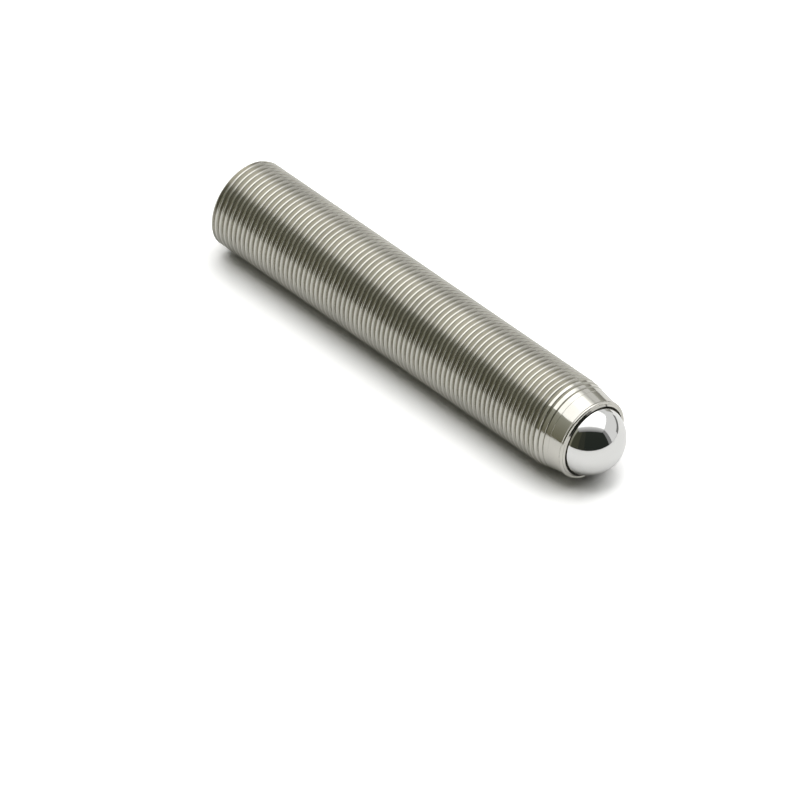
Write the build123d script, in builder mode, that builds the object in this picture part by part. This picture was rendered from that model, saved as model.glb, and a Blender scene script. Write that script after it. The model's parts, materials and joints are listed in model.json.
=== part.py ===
"""Ball-end adjusting screw: a headless fine-threaded screw with a bearing ball held in its nose.

The screw lies on its side. The origin is the centre of the rear face, on the screw's axis, +X runs
along that axis to the ball, and +Z is up. All sizes are in millimetres.
"""

import os
from math import asin, cos, degrees, radians, sin, sqrt, tan

from build123d import *

# The screw as a whole: its length is measured from the rear face to the tip of the ball
overall_length = 26.0
major_diameter = 4.70
rear_chamfer = 0.18

# The tapered nose, and the lip that rises from the nose's rim to the ball. The lip's width is measured
# from the ball's widest section out to that rim, so that the nose follows the ball.
nose_length = 1.835
nose_rim_round = 0.03
lip_rise = 0.08
lip_width = 0.22

# The bearing ball and the pocket that holds it
ball_diameter = 3.65
ball_clearance = 0.017
capture_depth = 0.34
seat_angle = 120.0

# The hexagon socket in the rear face, for a 2 mm key
socket_across_flats = 2.0
socket_depth = 2.0
socket_mouth_diameter = 2.5
socket_mouth_angle = 90.0
pilot_diameter = 1.9
drill_point_angle = 118.0

# Places that follow from those sizes
major_radius = major_diameter / 2
ball_radius = ball_diameter / 2
ball_centre = overall_length - ball_radius
nose_face = ball_centre + capture_depth
nose_rim = nose_face - lip_rise
nose_start = nose_rim - nose_length
nose_rim_diameter = ball_diameter + 2 * lip_width
pocket_radius = ball_radius + ball_clearance
opening_radius = sqrt(pocket_radius**2 - capture_depth**2)
seat_apex = ball_centre - pocket_radius / sin(radians(seat_angle / 2))
seat_rim = seat_apex + pocket_radius / tan(radians(seat_angle / 2))
mouth_depth = socket_mouth_diameter / 2 / tan(radians(socket_mouth_angle / 2))
pilot_tip = socket_depth + pilot_diameter / 2 / tan(radians(drill_point_angle / 2))

os.makedirs("parts", exist_ok=True)

# The turned body: the threaded shank at its major diameter, with the rear chamfer, the nose and its lip
with BuildPart() as screw_body:
    with BuildSketch(Plane.XZ):
        with BuildLine():
            Polyline(
                (0, 0),
                (0, major_radius - rear_chamfer),
                (rear_chamfer, major_radius),
                (nose_start, major_radius),
                (nose_rim, nose_rim_diameter / 2),
                (nose_face, opening_radius),
                (nose_face, 0),
                close=True,
            )
        make_face()
    revolve(axis=Axis.X)
    rim_edge = screw_body.edges().filter_by(GeomType.CIRCLE).sort_by(Axis.X)[-2]
    fillet(rim_edge, nose_rim_round)

    # The ball's pocket: a conical seat, a bore, and a lip rolled in past the ball's widest section
    with BuildSketch(Plane.XZ):
        with BuildLine():
            Line((seat_apex, 0), (seat_rim, pocket_radius))
            Line((seat_rim, pocket_radius), (ball_centre, pocket_radius))
            lip_angle = degrees(asin(capture_depth / pocket_radius))
            lip = CenterArc((ball_centre, 0), pocket_radius, 90, -lip_angle)
            Line(lip @ 1, (nose_face, 0))
            Line((nose_face, 0), (seat_apex, 0))
        make_face()
    revolve(axis=Axis.X, mode=Mode.SUBTRACT)

    # The broached hexagon, with the point of its pilot drill behind it and a countersunk mouth
    with BuildSketch(Plane.YZ):
        RegularPolygon(socket_across_flats / 2, 6, major_radius=False)
    extrude(amount=socket_depth, mode=Mode.SUBTRACT)
    with BuildSketch(Plane.XZ):
        with BuildLine():
            Polyline(
                (0, 0),
                (0, pilot_diameter / 2),
                (socket_depth, pilot_diameter / 2),
                (pilot_tip, 0),
                close=True,
            )
        make_face()
    revolve(axis=Axis.X, mode=Mode.SUBTRACT)
    with BuildSketch(Plane.XZ):
        with BuildLine():
            Polyline((0, 0), (0, socket_mouth_diameter / 2), (mouth_depth, 0), close=True)
        make_face()
    revolve(axis=Axis.X, mode=Mode.SUBTRACT)

screw_body.part.label = "screw_body"
export_step(screw_body.part, "parts/screw_body.step")

# The bearing ball, a hair clear of its seat and of the lip, which holds it in
with BuildPart() as ball:
    with Locations((ball_centre, 0, 0)):
        Sphere(ball_radius)

ball.part.label = "ball"
export_step(ball.part, "parts/ball.step")

print(f"nose face at {nose_face:.3f}, cone starts at {nose_start:.3f}, ball centre at {ball_centre:.3f}")
print(f"lip opening radius {opening_radius:.4f} against ball radius {ball_radius:.4f}")
print(f"seat touches the ball {ball_radius * cos(radians(90 - seat_angle / 2)):.3f} behind its centre")
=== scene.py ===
# %% [markdown]
# A ball-end adjusting screw is one turned bar of stainless steel with a very fine thread along it and
# a hard, polished ball held in its tapered nose. Turned in a tapped bush, it pushes a mirror mount or a
# small stage by a few thousandths of a millimetre at a time, and the ball rolls on whatever it pushes.
#
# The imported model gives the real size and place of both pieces, so it is loaded first. What this
# lesson adds is what the solids leave out: the helix of the thread, the fine marks of the lip round the
# ball, and the look of the steel. Blender works in metres here, and the screw is drawn in millimetres,
# so one value turns one into the other.

# %% Load the frame
import json
from math import asin, cos, pi, radians, sin, tan

import bpy
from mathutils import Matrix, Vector


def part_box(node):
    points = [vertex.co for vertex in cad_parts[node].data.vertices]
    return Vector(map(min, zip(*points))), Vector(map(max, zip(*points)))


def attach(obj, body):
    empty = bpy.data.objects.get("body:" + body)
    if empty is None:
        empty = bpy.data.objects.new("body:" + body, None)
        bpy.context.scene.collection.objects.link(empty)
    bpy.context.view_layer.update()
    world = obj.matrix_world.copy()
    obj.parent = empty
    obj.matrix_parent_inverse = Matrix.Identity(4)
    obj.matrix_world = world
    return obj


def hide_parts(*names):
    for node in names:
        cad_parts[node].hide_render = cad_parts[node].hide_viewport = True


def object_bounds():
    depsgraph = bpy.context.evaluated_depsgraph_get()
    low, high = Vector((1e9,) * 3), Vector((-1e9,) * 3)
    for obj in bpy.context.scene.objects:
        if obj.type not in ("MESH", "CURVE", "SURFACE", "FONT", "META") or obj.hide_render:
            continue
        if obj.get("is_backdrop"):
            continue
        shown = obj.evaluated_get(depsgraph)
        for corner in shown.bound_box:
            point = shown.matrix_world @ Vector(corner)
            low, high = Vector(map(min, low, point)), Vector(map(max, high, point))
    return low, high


MM = 0.001


def print_box(name, low, high):
    """Prints the three lengths of a box in millimetres."""
    print(name, "box, mm:", [round(side / MM, 3) for side in high - low])


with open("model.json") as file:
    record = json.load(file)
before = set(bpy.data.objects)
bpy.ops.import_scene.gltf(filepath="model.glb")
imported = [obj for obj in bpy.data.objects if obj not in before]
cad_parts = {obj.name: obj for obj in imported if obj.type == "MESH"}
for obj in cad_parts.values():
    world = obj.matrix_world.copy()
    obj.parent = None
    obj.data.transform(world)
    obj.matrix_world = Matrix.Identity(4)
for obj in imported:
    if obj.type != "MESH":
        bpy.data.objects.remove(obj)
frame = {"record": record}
cad_low, cad_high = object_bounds()
print_box("CAD", cad_low, cad_high)

# %% [markdown]
# The sizes come from the frame where it holds them: the thread's radius is stated on its mount, and the
# boxes of the two pieces give where the nose ends and how large the ball is. The others repeat the
# solid's, apart from the small bevel on the lip's inner edge, which the solid has sharp.

# %% The sizes
SEGMENTS = 96
TINY = 0.001 * MM

thread_mount = next(mount for mount in frame["record"]["mounts"] if mount["name"] == "thread")
MAJOR_RADIUS = thread_mount["dims"]["r_mm"] * MM
NOSE_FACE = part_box("screw_body")[1].x
BALL_LOW, BALL_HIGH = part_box("ball")
BALL_RADIUS = (BALL_HIGH.z - BALL_LOW.z) / 2
BALL_CENTRE = BALL_HIGH.x - BALL_RADIUS
LENGTH = cad_high.x

NOSE_LENGTH = 1.835 * MM
NOSE_RIM_RADIUS = 2.045 * MM
NOSE_RIM_ROUND = 0.03 * MM
LIP_RISE = 0.08 * MM
LIP_EDGE = 0.055 * MM
REAR_CHAMFER = 0.18 * MM
BALL_CLEARANCE = 0.017 * MM
SEAT_HALF_ANGLE = radians(60)
SOCKET_ACROSS_FLATS = 2.0 * MM
SOCKET_DEPTH = 2.0 * MM
SOCKET_MOUTH_RADIUS = 1.25 * MM
PILOT_RADIUS = 0.95 * MM
DRILL_HALF_ANGLE = radians(59)
print(f"ball radius {BALL_RADIUS / MM:.3f} mm, centre at {BALL_CENTRE / MM:.3f} mm")

# %% [markdown]
# The photo is a catalogue shot from far away with a long lens, so the screw hardly tapers with
# distance. Its axis runs to the lower right of the picture, and the ball end points at the camera by a
# little over a third of a right angle. Two angles give the camera's direction, and the camera is aimed
# off the screw, so that the middle of the axis falls on the same pixel as in the photo.

# %% Camera
PHOTO_SIDE = 800
PHOTO_SCALE = 20.80 / MM
AXIS_MIDDLE_PIXEL = Vector((428.4, 327.6))
VIEW_AZIMUTH = radians(46.9)
VIEW_ELEVATION = radians(40.3)
VIEW_DISTANCE = 0.9
SENSOR = 36.0

toward_camera = Vector((
    sin(VIEW_AZIMUTH) * cos(VIEW_ELEVATION),
    -cos(VIEW_AZIMUTH) * cos(VIEW_ELEVATION),
    sin(VIEW_ELEVATION),
))
camera_right = Vector((cos(VIEW_AZIMUTH), sin(VIEW_AZIMUTH), 0))
camera_up = toward_camera.cross(camera_right)
off_centre = (AXIS_MIDDLE_PIXEL - Vector((PHOTO_SIDE / 2, PHOTO_SIDE / 2))) / PHOTO_SCALE
aim = Vector((LENGTH / 2, 0, 0)) - off_centre.x * camera_right + off_centre.y * camera_up

bpy.ops.object.camera_add(location=aim + VIEW_DISTANCE * toward_camera)
camera = bpy.context.object
camera.rotation_euler = (-toward_camera).to_track_quat("-Z", "Y").to_euler()
camera.data.sensor_width = SENSOR
camera.data.lens = SENSOR * VIEW_DISTANCE * PHOTO_SCALE / PHOTO_SIDE
bpy.context.scene.camera = camera
bpy.context.scene.view_settings.view_transform = "Standard"
print(f"lens {camera.data.lens:.0f} mm")

# %% [markdown]
# A lathe turns an outline round an axis, and so does the Spin tool. Both the screw's blank and its
# thread start as an outline in the XZ plane, drawn as by hand: a plane is merged to one vertex, moved
# to the first point, and extruded from point to point.

# %% Outlines, rims and cutters
def deselect_all():
    """Deselects every object, because an operator acts on all that is selected."""
    bpy.ops.object.select_all(action="DESELECT")


def draw_outline(name, points):
    """Draws an open outline through (x, z) points, and leaves it in edit mode, selected."""
    deselect_all()
    bpy.ops.mesh.primitive_plane_add(size=MM)
    piece = bpy.context.object
    piece.name = name
    bpy.ops.object.mode_set(mode="EDIT")
    bpy.ops.mesh.merge(type="CENTER")
    bpy.ops.transform.translate(value=(points[0][0], 0, points[0][1]))
    for start, end in zip(points, points[1:]):
        step = (end[0] - start[0], 0, end[1] - start[1])
        bpy.ops.mesh.extrude_region_move(TRANSFORM_OT_translate={"value": step})
    bpy.ops.mesh.select_all(action="SELECT")
    return piece


def select_rim(piece, x, radius):
    """Selects the ring of edges at one place along the axis and one distance from it."""
    bpy.ops.mesh.select_all(action="DESELECT")
    bpy.ops.object.mode_set(mode="OBJECT")
    for edge in piece.data.edges:
        ends = [piece.data.vertices[number].co for number in edge.vertices]
        edge.select = all(abs(end.x - x) < TINY and abs(end.yz.length - radius) < TINY for end in ends)
    bpy.ops.object.mode_set(mode="EDIT")


def apply_modifier(piece, kind, **settings):
    """Adds a modifier with its settings and applies it."""
    deselect_all()
    piece.select_set(True)
    bpy.context.view_layer.objects.active = piece
    modifier = piece.modifiers.new(kind.title(), kind)
    for setting, value in settings.items():
        setattr(modifier, setting, value)
    bpy.ops.object.modifier_apply(modifier=modifier.name)


def cut(piece, tool, operation):
    """Joins a piece and a tool by a Boolean, and throws the tool away."""
    apply_modifier(piece, "BOOLEAN", operation=operation, solver="MANIFOLD", object=tool)
    bpy.data.objects.remove(tool)


def count(piece):
    """Prints a piece's name and its number of triangles."""
    piece.data.calc_loop_triangles()
    print(f"{piece.name}: {len(piece.data.loop_triangles)} triangles")


# %% [markdown]
# The blank is everything that the lathe gives the screw before threading: the pilot hole and the
# countersink of the rear face, the rear chamfer, the shank, the tapered nose, and the pocket with its
# conical seat. The pocket's wall closes in past the ball's widest section, because the lip of the real
# one is pressed over the ball to hold it. So the lip slopes up to the ball, a ring-shaped punch has left
# a shallow groove in it, and the nose has swollen into a faint bead behind its rim. The shank is drawn a
# little proud of the thread's crests, so that in the cut that follows the two never share a surface.

# %% The lathe-turned blank
PROUD = 0.02 * MM
LIP_STEPS = 4
PUNCHED_FROM = 2.0 * MM
PUNCHED_TO = 1.96 * MM
PUNCHED_FLOOR = 0.02 * MM
BEAD_LENGTH = 0.14 * MM
BEAD_HEIGHT = 0.05 * MM
CONE_END = 0.03 * MM
RIM_ROUND_STEPS = 3

nose_rim = NOSE_FACE - LIP_RISE
nose_start = nose_rim - NOSE_LENGTH
pocket_radius = BALL_RADIUS + BALL_CLEARANCE
capture = asin((NOSE_FACE - LIP_EDGE - BALL_CENTRE) / pocket_radius)
lip_mouth = pocket_radius * cos(capture) + LIP_EDGE
seat_apex = BALL_CENTRE - pocket_radius / sin(SEAT_HALF_ANGLE)
seat_rim = seat_apex + pocket_radius / tan(SEAT_HALF_ANGLE)
nose_slope = (MAJOR_RADIUS - NOSE_RIM_RADIUS) / NOSE_LENGTH
cone_end = BEAD_LENGTH + CONE_END
bead_rim = NOSE_RIM_RADIUS + BEAD_HEIGHT
land_rise = LIP_RISE * (bead_rim - PUNCHED_FROM) / (bead_rim - lip_mouth)
proud_start = nose_start - PROUD / nose_slope
lip_angles = [capture * step / LIP_STEPS for step in range(LIP_STEPS, -1, -1)]
lip = [(BALL_CENTRE + pocket_radius * sin(angle), pocket_radius * cos(angle)) for angle in lip_angles]

blank = draw_outline("screw_body_threaded", [
    (SOCKET_DEPTH + PILOT_RADIUS / tan(DRILL_HALF_ANGLE), 0),
    (SOCKET_DEPTH, PILOT_RADIUS),
    (SOCKET_MOUTH_RADIUS - PILOT_RADIUS, PILOT_RADIUS),
    (0, SOCKET_MOUTH_RADIUS),
    (0, MAJOR_RADIUS - REAR_CHAMFER),
    (REAR_CHAMFER + PROUD, MAJOR_RADIUS + PROUD),
    (proud_start, MAJOR_RADIUS + PROUD),
    (nose_rim - cone_end, NOSE_RIM_RADIUS + nose_slope * cone_end),
    (nose_rim - BEAD_LENGTH, NOSE_RIM_RADIUS + nose_slope * BEAD_LENGTH),
    (nose_rim - BEAD_LENGTH / 2, bead_rim + nose_slope * BEAD_LENGTH / 4),
    (nose_rim, bead_rim),
    (nose_rim + land_rise, PUNCHED_FROM),
    (nose_rim + PUNCHED_FLOOR, PUNCHED_TO),
    (NOSE_FACE, lip_mouth),
    *lip,
    (seat_rim, pocket_radius),
    (seat_apex, 0),
])
bpy.ops.mesh.spin(steps=SEGMENTS, angle=2 * pi, center=(0, 0, 0), axis=(1, 0, 0))
bpy.ops.mesh.select_all(action="SELECT")
bpy.ops.mesh.remove_doubles(threshold=TINY)
bpy.ops.mesh.normals_make_consistent(inside=False)
select_rim(blank, nose_rim, bead_rim)
bpy.ops.mesh.bevel(offset=NOSE_RIM_ROUND, segments=RIM_ROUND_STEPS)
bpy.ops.object.mode_set(mode="OBJECT")
count(blank)

# %% [markdown]
# The thread is a right-hand helix with just over three turns to the millimetre. One turn's outline is
# a crest with a worn shoulder on each side, a flank, a root and the other flank, and the Screw modifier
# carries it round and along at once. The shoulders are what makes each turn glint as one thin line. The
# thread runs past both ends of the blank, where its open ends are closed with a face. The blank and the
# thread are then intersected, which leaves the chamfer and the nose to cut the crests away, as on the
# real screw: the last turns widen into flats and thin grooves, and the last one fades out on the taper.

# %% The thread
PITCH = 0.3075 * MM
THREAD_DEPTH = 0.18 * MM
THREAD_HALF_ANGLE = radians(30)
CREST = 0.095 * MM
SHOULDER_WIDTH = 0.03 * MM
SHOULDER_DROP = 0.009 * MM
SPARE_TURNS = 2

flank = THREAD_DEPTH * tan(THREAD_HALF_ANGLE)
root_radius = MAJOR_RADIUS - THREAD_DEPTH
first_crest = -SPARE_TURNS * PITCH
turns = int(LENGTH / PITCH) + 2 * SPARE_TURNS
thread = draw_outline("thread", [
    (first_crest, MAJOR_RADIUS - SHOULDER_DROP),
    (first_crest + SHOULDER_WIDTH, MAJOR_RADIUS),
    (first_crest + CREST - SHOULDER_WIDTH, MAJOR_RADIUS),
    (first_crest + CREST, MAJOR_RADIUS - SHOULDER_DROP),
    (first_crest + CREST + flank, root_radius),
    (first_crest + PITCH - flank, root_radius),
    (first_crest + PITCH, MAJOR_RADIUS - SHOULDER_DROP),
])
bpy.ops.object.mode_set(mode="OBJECT")
apply_modifier(
    thread, "SCREW", axis="X", angle=2 * pi, screw_offset=PITCH, iterations=turns,
    steps=SEGMENTS, render_steps=SEGMENTS,
)
bpy.ops.object.mode_set(mode="EDIT")
bpy.ops.mesh.select_all(action="SELECT")
bpy.ops.mesh.remove_doubles(threshold=TINY)
bpy.ops.mesh.fill_holes(sides=0)
bpy.ops.mesh.select_all(action="SELECT")
bpy.ops.mesh.normals_make_consistent(inside=False)
bpy.ops.object.mode_set(mode="OBJECT")
count(thread)
cut(blank, thread, "INTERSECT")

# %% [markdown]
# A headless screw is turned from behind, with a hexagon key. The hexagon was broached into the pilot
# hole, so it is cut here with a six-sided bar as deep as the real socket. That was the last cut, so the
# gentle bends are now shaded smooth, and the sharp edges stay crisp.

# %% The hexagon socket
KEY_SIDES = 6
SMOOTH_UNDER = radians(25)

key_radius = SOCKET_ACROSS_FLATS / 2 / cos(pi / KEY_SIDES)
deselect_all()
bpy.ops.mesh.primitive_cylinder_add(
    vertices=KEY_SIDES, radius=key_radius, depth=2 * SOCKET_DEPTH, rotation=(0, radians(90), 0),
)
broach = bpy.context.object
bpy.ops.object.transform_apply(rotation=True)
cut(blank, broach, "DIFFERENCE")
deselect_all()
blank.select_set(True)
bpy.context.view_layer.objects.active = blank
bpy.ops.object.shade_smooth_by_angle(angle=SMOOTH_UNDER)
count(blank)

# %% [markdown]
# A bearing ball is round to a few ten-thousandths of a millimetre. A sphere primitive has poles, where
# a mirror finish shows pinched highlights, so the ball is a cube, cut into a fine grid and then blown
# out to a sphere, which spreads its faces evenly.

# %% The ball
BALL_CUTS = 31

deselect_all()
bpy.ops.mesh.primitive_cube_add(size=2 * BALL_RADIUS)
ball = bpy.context.object
ball.name = "ball_polished"
bpy.ops.object.mode_set(mode="EDIT")
bpy.ops.mesh.select_all(action="SELECT")
bpy.ops.mesh.subdivide(number_cuts=BALL_CUTS)
bpy.ops.object.mode_set(mode="OBJECT")
apply_modifier(
    ball, "CAST", factor=1.0, cast_type="SPHERE", radius=0, size=BALL_RADIUS, use_radius_as_size=False,
)
bpy.ops.object.mode_set(mode="EDIT")
bpy.ops.mesh.select_all(action="SELECT")
bpy.ops.transform.translate(value=(BALL_CENTRE, 0, 0))
bpy.ops.object.mode_set(mode="OBJECT")
bpy.ops.object.shade_smooth()
count(ball)

# %% [markdown]
# Each finish is named for what it is and how it was made. Colours are written as the sRGB hex values
# that a colour picker shows, and one function turns them into the linear values that light is
# reckoned in. Another adds a shader node with its settings and links in one call. The finishes vary
# with noise, whose values mostly lie between the two named here.

# %% Colours and nodes
NOISE_LOW, NOISE_HIGH = 0.3, 0.7


def linear(hex_colour):
    """Turns an sRGB hex colour, such as "#c8c4ba", into linear red, green and blue, and a full alpha."""
    shown = [int(hex_colour[start:start + 2], 16) / 255 for start in (1, 3, 5)]
    lit = [level / 12.92 if level <= 0.04045 else ((level + 0.055) / 1.055) ** 2.4 for level in shown]
    return [*lit, 1.0]


def add_node(tree, kind, inputs=None, **settings):
    """Adds a node. An input is a value, or another node's socket to link from."""
    node = tree.nodes.new("ShaderNode" + kind)
    for setting, value in settings.items():
        setattr(node, setting, value)
    for socket, value in (inputs or {}).items():
        if isinstance(value, bpy.types.NodeSocket):
            tree.links.new(value, node.inputs[socket])
        else:
            node.inputs[socket].default_value = value
    return node


def new_material(name):
    """Makes an empty node material and its output, and returns the material, its tree and the output."""
    material = bpy.data.materials.new(name)
    material.use_nodes = True
    material.node_tree.nodes.clear()
    return material, material.node_tree, add_node(material.node_tree, "OutputMaterial")


# %% [markdown]
# The body is free-machining stainless steel. Its colour is a warm grey, a little yellower than chrome.
# Turning leaves very fine rings round the axis, so the noise that varies the roughness is squeezed
# along the axis and hardly changes round it. Real rings are about 0.02 mm apart, under half a pixel
# here, so they are drawn three times as coarse. One function makes all four finishes of the body, which
# differ only in colour, in how rough they are and in how deep their rings are. The nose and the faces
# were turned last and are the brightest, and the crests are rubbed by the tapped hole they turn in. The
# threading tool tears the steel a little and leaves the grooves rougher, and their darker colour is
# painted shade in the grooves. The pocket and the gap round the ball are painted near black, as
# painted shade in that narrow recess.

# %% Turned and thread-cut stainless steel
RING_SPACING = 0.06 * MM
RING_DEPTH = 0.02 * MM
STREAK_LENGTH = 1.5 * MM
CLOUD_SIZE = 2.5 * MM
CLOUD_DARKEST, CLOUD_PALEST = 0.92, 1.04


def stainless_steel(name, colour, smoothest, roughest, relief):
    """Makes stainless steel with rings round the axis, between two roughnesses."""
    material, tree, output = new_material(name)
    coordinates = add_node(tree, "TexCoord")
    place = coordinates.outputs["Object"]
    ring_place = add_node(tree, "Mapping", {
        "Vector": place,
        "Scale": (1 / RING_SPACING, 1 / STREAK_LENGTH, 1 / STREAK_LENGTH),
    })
    rings = add_node(tree, "TexNoise", {"Vector": ring_place.outputs[0], "Scale": 1.0, "Detail": 3.0})
    cloud = add_node(tree, "TexNoise", {"Vector": place, "Scale": 1 / CLOUD_SIZE, "Detail": 2.0})
    shade = add_node(tree, "MapRange", {
        "Value": cloud.outputs["Fac"], "From Min": NOISE_LOW, "From Max": NOISE_HIGH,
        "To Min": CLOUD_DARKEST, "To Max": CLOUD_PALEST,
    })
    base = add_node(tree, "RGB")
    base.outputs[0].default_value = linear(colour)
    tint = add_node(tree, "VectorMath", {
        0: base.outputs[0], "Scale": shade.outputs[0],
    }, operation="SCALE")
    roughness = add_node(tree, "MapRange", {
        "Value": rings.outputs["Fac"], "From Min": NOISE_LOW, "From Max": NOISE_HIGH,
        "To Min": smoothest, "To Max": roughest,
    })
    bump = add_node(tree, "Bump", {
        "Height": rings.outputs["Fac"], "Strength": relief, "Distance": RING_DEPTH,
    })
    steel = add_node(tree, "BsdfPrincipled", {
        "Base Color": tint.outputs[0],
        "Metallic": 1.0,
        "Roughness": roughness.outputs[0],
        "Normal": bump.outputs[0],
    })
    tree.links.new(steel.outputs[0], output.inputs["Surface"])
    return material


turned_steel = stainless_steel(
    "fine_turned_stainless_steel", "#d1cfc7", smoothest=0.06, roughest=0.12, relief=0.02,
)
crest_steel = stainless_steel(
    "rubbed_thread_crest_steel", "#cac8c0", smoothest=0.15, roughest=0.24, relief=0.05,
)
# The grooves' darker colour is painted shade; the tool's tearing gives their greater roughness.
cut_steel_with_painted_shade = stainless_steel(
    "thread_cut_steel_with_painted_shade", "#b6b4aa", smoothest=0.14, roughest=0.24, relief=0.10,
)
# Painted shade: the pocket and the gap round the ball are painted near black.
painted_shade_pocket_steel = stainless_steel(
    "pocket_steel_with_painted_shade", "#3b3932", smoothest=0.25, roughest=0.40, relief=0.05,
)
print(f"rings {RING_SPACING * PHOTO_SCALE:.1f} pixels apart")

# %% [markdown]
# The ball is hardened chromium steel, lapped until it is a mirror. Its colour is whiter than the
# body's, and what little texture it has is a faint haze of lapping scratches that widens the
# reflection's edges by a hair.

# %% Lapped bearing steel
BALL_COLOUR = "#e4e4e2"
HAZE_SIZE = 0.4 * MM
HAZE_SMOOTHEST, HAZE_ROUGHEST = 0.03, 0.07

lapped_steel, tree, output = new_material("lapped_bearing_steel")
coordinates = add_node(tree, "TexCoord")
haze = add_node(tree, "TexNoise", {
    "Vector": coordinates.outputs["Object"], "Scale": 1 / HAZE_SIZE, "Detail": 4.0,
})
roughness = add_node(tree, "MapRange", {
    "Value": haze.outputs["Fac"], "From Min": NOISE_LOW, "From Max": NOISE_HIGH,
    "To Min": HAZE_SMOOTHEST, "To Max": HAZE_ROUGHEST,
})
steel = add_node(tree, "BsdfPrincipled", {
    "Base Color": linear(BALL_COLOUR), "Metallic": 1.0, "Roughness": roughness.outputs[0],
})
tree.links.new(steel.outputs[0], output.inputs["Surface"])
print(f"haze {HAZE_SIZE * PHOTO_SCALE:.1f} pixels wide")

# %% [markdown]
# Each new piece gets its finish, stands for its plain solid, and moves with that solid's body: the
# ball turns in its pocket, and everything else is the screw.

# %% Dress the pieces
for piece, materials, node, body, slot in (
    (blank, (turned_steel, crest_steel, cut_steel_with_painted_shade, painted_shade_pocket_steel), "screw_body", "screw", "screw_steel"),
    (ball, (lapped_steel,), "ball", "ball", "ball_steel"),
):
    piece.data.materials.clear()
    for material in materials:
        piece.data.materials.append(material)
    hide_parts(node)
    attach(piece, body)
    print(f"{piece.name} stands for {node} and rides on {body}")

# %% [markdown]
# The finish of each face of the body follows from where the face is: how far along the axis, and how
# deep under the shank's surface or the taper's. The broached socket and the rear chamfer lie deep by
# that measure, and they share the finish of the grooves, with its painted shade. The faces inside the
# pocket get the near-black painted shade.

# %% Finishes by place
TURNED, CREST_RUBBED, CUT_WITH_PAINTED_SHADE, POCKET_SHADE = range(4)
GROOVE_SHOWS_AT = 0.02 * MM


def finish_of(place):
    """Picks the finish of a face of the body by its middle's place."""
    radius = place.yz.length
    taper = max(0.0, place.x - nose_start) * nose_slope
    depth = MAJOR_RADIUS - taper - radius
    # The pocket and the lip's inner faces get the painted shade of the recess.
    if place.x > seat_apex and radius < lip_mouth:
        return POCKET_SHADE
    if place.x > nose_rim - 2 * NOSE_RIM_ROUND or place.x < TINY:
        return TURNED
    # Faces deep in a groove get the darker colour of painted shade.
    if depth > GROOVE_SHOWS_AT:
        return CUT_WITH_PAINTED_SHADE
    return CREST_RUBBED if place.x < nose_start else TURNED


for face in blank.data.polygons:
    face.material_index = finish_of(face.center)
for index, material in enumerate(blank.data.materials):
    dressed = sum(face.material_index == index for face in blank.data.polygons)
    print(f"{material.name}: {dressed} faces")

# %% [markdown]
# The screw lies on a white table. A studio photo clears the open table to pure white and keeps only the
# shadow under the screw, so the table has three values: one for the light that it sends on, one for its
# image in the steel, and one for the camera, which is paler than any real paint. Where the table is
# about to meet the steel, an Ambient Occlusion node deepens the shadow.

# %% The table
TABLE_SIZE = 3.0
TABLE_COLOUR = 0.92
TABLE_MIRRORED = 0.88
TABLE_SEEN = 1.35
CONTACT_REACH = 0.7 * MM
CONTACT_SHADE = 0.25
CONTACT_SAMPLES = 8


def by_ray(tree, lighting, mirrored, seen):
    """Gives one value to the rays that light things, one to mirrored rays and one to the camera's."""
    rays = add_node(tree, "LightPath")
    mirror = add_node(tree, "Math", {
        0: rays.outputs["Is Glossy Ray"], 1: rays.outputs["Is Transmission Ray"],
    }, operation="MAXIMUM")
    unseen = add_node(tree, "MapRange", {
        "Value": mirror.outputs[0], "To Min": lighting, "To Max": mirrored,
    })
    level = add_node(tree, "MapRange", {
        "Value": rays.outputs["Is Camera Ray"], "To Min": unseen.outputs[0], "To Max": seen,
    })
    return level.outputs[0]


deselect_all()
bpy.ops.mesh.primitive_plane_add(size=TABLE_SIZE, location=(LENGTH / 2, 0, -MAJOR_RADIUS))
table = bpy.context.object
table.name = "table"
table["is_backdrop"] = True
white_table, tree, output = new_material("white_table")
nearness = add_node(tree, "AmbientOcclusion", {"Distance": CONTACT_REACH}, samples=CONTACT_SAMPLES)
contact = add_node(tree, "MapRange", {
    "Value": nearness.outputs["AO"], "To Min": CONTACT_SHADE, "To Max": 1.0,
})
white = add_node(tree, "Math", {
    0: by_ray(tree, TABLE_COLOUR, TABLE_MIRRORED, TABLE_SEEN), 1: contact.outputs[0],
}, operation="MULTIPLY")
paint = add_node(tree, "BsdfDiffuse", {"Color": white.outputs[0]})
tree.links.new(paint.outputs[0], output.inputs["Surface"])
table.data.materials.append(white_table)
print(f"table {-table.location.z / MM:.2f} mm under the axis")

# %% [markdown]
# Polished metal has no look of its own: it shows the room. So the room is built too, and its light comes
# first. The shadow in the photo fades slowly beside the screw and ends soon past the two ends, so most
# of the light comes from a strip softbox overhead that lies across the screw, a little to the ball's
# side. Its edges are given as their distance from the screw's middle over its height. It is an area
# light that the camera and mirrored rays pass by, so that the steel shows the cloth over it instead.

# %% The softbox overhead
BOX_HEIGHT = 0.3
BOX_ALONG = (0.05, 0.35)
BOX_ACROSS = (-0.43, 0.29)
BOX_RADIANCE = 4.3

middle = Vector((LENGTH / 2, 0, 0))


def overhead(sides, ends, right, beyond, height):
    """Returns the middle and the two sizes of a level panel over the screw, from its edges."""
    side_shift, end_shift = BOX_HEIGHT * sum(sides) / 2, BOX_HEIGHT * sum(ends) / 2
    place = middle + side_shift * right + end_shift * beyond + Vector((0, 0, height))
    return place, BOX_HEIGHT * (sides[1] - sides[0]), BOX_HEIGHT * (ends[1] - ends[0])


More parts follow.
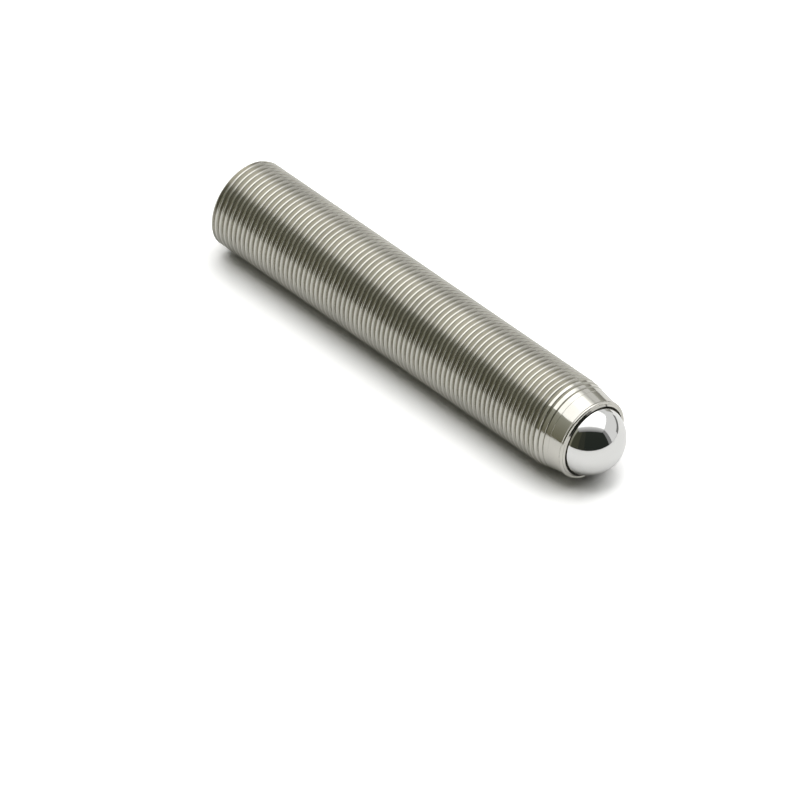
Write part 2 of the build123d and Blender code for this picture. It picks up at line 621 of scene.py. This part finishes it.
box_place, box_width, box_length = overhead(
    BOX_ALONG, BOX_ACROSS, Vector((1, 0, 0)), Vector((0, 1, 0)), BOX_HEIGHT,
)
bpy.ops.object.light_add(type="AREA", location=box_place)
softbox = bpy.context.object
softbox.data.shape = "RECTANGLE"
softbox.data.size, softbox.data.size_y = box_width, box_length
softbox.data.energy = BOX_RADIANCE * pi * box_width * box_length
softbox.visible_camera = False
softbox.visible_glossy = False
print(f"softbox {box_width:.3f} m by {box_length:.3f} m, {softbox.data.energy:.2f} W")

# %% [markdown]
# The rest of the room can be read off the ball. A wide white cloth hangs overhead and fades out towards
# the camera and behind the screw. Its edges, and the places where its glow changes, are given as their
# distance to the camera's right, or away from the camera, over its height, which is how a mirror ball
# shows them.

# %% The cloth overhead
CLOTH_SIDES = (-0.63, 1.10)
CLOTH_ENDS = (-0.64, 1.30)
CLOTH_GAP = 0.002
CLOTH_GLOW = (
    (-0.64, 0.20), (-0.50, 0.42), (-0.36, 0.62), (-0.27, 1.60), (0.20, 1.75), (0.38, 2.20), (0.68, 2.20),
    (0.84, 1.60), (1.00, 1.10), (1.16, 0.70), (1.30, 0.60),
)
PLANE_EDGE = 0.5

away = Vector((-sin(VIEW_AZIMUTH), cos(VIEW_AZIMUTH), 0))


def glowing_stage(piece, axis, start, end, levels):
    """Makes a stage piece glow from level to level along an axis, and hides it from the camera."""
    material, tree, output = new_material(piece.name)
    along = add_node(tree, "SeparateXYZ", {0: add_node(tree, "TexCoord").outputs["Object"]})
    place = add_node(tree, "MapRange", {"Value": along.outputs[axis], "From Min": start, "From Max": end})
    ramp = add_node(tree, "ValToRGB", {"Fac": place.outputs[0]})
    # Each new stop starts halfway, and all stops are then moved to their places
    while len(ramp.color_ramp.elements) < len(levels):
        ramp.color_ramp.elements.new(0.5)
    for stop, (position, colour) in zip(ramp.color_ramp.elements, levels):
        stop.position = position
        stop.color = colour
    glow = add_node(tree, "Emission", {"Color": ramp.outputs["Color"]})
    tree.links.new(glow.outputs[0], output.inputs["Surface"])
    piece.data.materials.append(material)
    piece.visible_camera = False
    piece.visible_shadow = False
    piece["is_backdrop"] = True


cloth_place, cloth_width, cloth_length = overhead(
    CLOTH_SIDES, CLOTH_ENDS, camera_right, away, BOX_HEIGHT + CLOTH_GAP,
)
deselect_all()
bpy.ops.mesh.primitive_plane_add(size=2 * PLANE_EDGE, location=cloth_place, rotation=(0, 0, VIEW_AZIMUTH))
cloth = bpy.context.object
cloth.name = "glowing_cloth"
cloth.scale = (cloth_width, cloth_length, 1)
cloth_reach = CLOTH_ENDS[1] - CLOTH_ENDS[0]
cloth_levels = [
    ((end - CLOTH_ENDS[0]) / cloth_reach, (level, level, level, 1)) for end, level in CLOTH_GLOW
]
glowing_stage(cloth, "Y", -PLANE_EDGE, PLANE_EDGE, cloth_levels)
print(f"cloth {cloth_width:.2f} m by {cloth_length:.2f} m")

# %% [markdown]
# Round the screw the ball shows a black curtain, which hides the camera and meets the table's edge in a
# sharp curved line, an olive-grey card to the camera's left, a grey one and the table's dark far rim to
# its right, and some shade behind the screw. Each is a strip that stands on the table and is spun round
# the screw's middle, between two angles in degrees. The curtain's paler end and its lit end are two
# more. The glow of each is painted light, in place of the light that falls on it, and the olive-grey
# card and the shade are painted paler towards the top.

# %% The curtain and the cards
CURTAIN_DISTANCE = 0.4
CURTAIN_HEIGHT = 0.85
RIM_HEIGHT = 0.05
SHADE_HEIGHT = 0.14
CARD_STEPS = 24


def curved_card(name, start, end, height, foot_colour, top_colour):
    """Stands a strip round the screw, from one angle to another, counted from the camera to its right."""
    deselect_all()
    bpy.ops.mesh.primitive_plane_add(size=MM)
    card = bpy.context.object
    card.name = name
    bpy.ops.object.mode_set(mode="EDIT")
    bpy.ops.mesh.merge(type="CENTER")
    heading = VIEW_AZIMUTH + radians(start)
    foot = middle + CURTAIN_DISTANCE * Vector((sin(heading), -cos(heading), 0))
    bpy.ops.transform.translate(value=(foot.x, foot.y, -MAJOR_RADIUS))
    bpy.ops.mesh.extrude_region_move(TRANSFORM_OT_translate={"value": (0, 0, height)})
    bpy.ops.mesh.select_all(action="SELECT")
    bpy.ops.mesh.spin(steps=CARD_STEPS, angle=radians(end - start), center=middle, axis=(0, 0, -1))
    bpy.ops.object.mode_set(mode="OBJECT")
    levels = ((0, linear(foot_colour)), (1, linear(top_colour)))
    glowing_stage(card, "Z", -MAJOR_RADIUS, height, levels)
    print(f"{name}: {end - start} degrees wide")


curved_card("black_curtain", -12, 61, CURTAIN_HEIGHT, "#282c28", "#2e322d")
# Painted light: this end of the curtain glows a little paler than the black.
curved_card("paler_end_of_the_curtain", -30, -12, CURTAIN_HEIGHT, "#34362f", "#363831")
curved_card("lit_end_of_the_curtain", -52, -30, CURTAIN_HEIGHT, "#434438", "#434438")
# Painted light: the olive-grey card glows paler towards its top.
curved_card("olive_grey_card", -115, -52, CURTAIN_HEIGHT, "#7a7867", "#bdbfb6")
curved_card("grey_card", 61, 72, CURTAIN_HEIGHT, "#8a8a8a", "#8a8a8a")
curved_card("far_rim_of_the_table", 100, 140, RIM_HEIGHT, "#7c7c7c", "#7c7c7c")
curved_card("shade_behind_the_screw", 145, 205, SHADE_HEIGHT, "#8c8b84", "#b8b8b2")

# %% [markdown]
# A pale tent closes the room on all sides. The steel shows it nearly white, but it lights the table
# only a little, because the shadow in the photo is about as deep as the softbox alone makes it.

# %% The tent
TENT_LIGHT = 0.15
TENT_MIRRORED = 0.8
TENT_SEEN = 1.0

world = bpy.data.worlds.new("tent")
bpy.context.scene.world = world
world.use_nodes = True
tree = world.node_tree
tree.nodes.clear()
background = add_node(tree, "Background", {
    "Color": (1, 1, 1, 1), "Strength": by_ray(tree, TENT_LIGHT, TENT_MIRRORED, TENT_SEEN),
})
add_node(tree, "OutputWorld", {"Surface": background.outputs[0]})
print(f"tent {TENT_MIRRORED:.2f} in the steel, {TENT_LIGHT:.2f} on the table")

# %% [markdown]
# Last, the box of the looks is printed, to set beside the solids' box printed at the start.

# %% Measure and finish
seen_low, seen_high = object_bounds()
print_box("visual", seen_low, seen_high)
